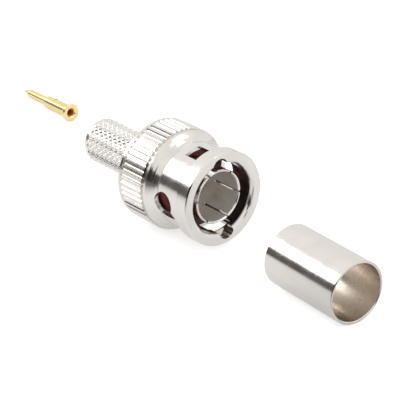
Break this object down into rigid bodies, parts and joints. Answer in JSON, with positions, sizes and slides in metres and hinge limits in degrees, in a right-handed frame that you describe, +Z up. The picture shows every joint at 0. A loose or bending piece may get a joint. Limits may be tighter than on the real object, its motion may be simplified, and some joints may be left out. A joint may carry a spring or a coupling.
{
  "type": "bayonet coaxial crimp plug",
  "caption": "Coaxial cable plug with a bayonet coupling nut, slotted contact sleeve and knurled crimp tail, with its loose centre contact and crimp ferrule.",
  "frame": {"origin": "centre of the bottom of the whole set's box, on the surface that the plug, the contact and the ferrule lie on", "axes": "+X along the plug's axis towards its mating face, +Z up"},
  "size_m": [0.0902, 0.0201, 0.0145],
  "materials": {
    "nickel_plated_brass": "bright nickel plate on brass",
    "gold_plated_brass": "bright gold plate on brass",
    "spring_steel": "bright",
    "ptfe": "matte white fluoropolymer",
    "red_silicone": "satin silicone rubber"
  },
  "bodies": {
    "plug_body": {"slotted_body": "nickel_plated_brass", "crimp_tail": "nickel_plated_brass", "insulator": "ptfe", "gasket": "red_silicone", "wave_washer": "spring_steel", "centre_contact": "gold_plated_brass", "crimp_ferrule": "nickel_plated_brass"},
    "washer": {"thrust_washer": "spring_steel"},
    "nut": {"coupling_nut": "nickel_plated_brass"}
  },
  "joints": [
    {"name": "nut_slide", "type": "slide", "parent": "plug_body", "child": "washer", "axis": [1, 0, 0], "range_m": [0, 0.0008], "stiffness_N_per_m": 3000, "springref_m": -0.0006, "deforming": ["wave_washer"]},
    {"name": "nut_spin", "type": "hinge", "parent": "washer", "child": "nut", "pos_m": [0.00868, -0.0028, 0.00725], "axis": [1, 0, 0], "continuous": true}
  ]
}
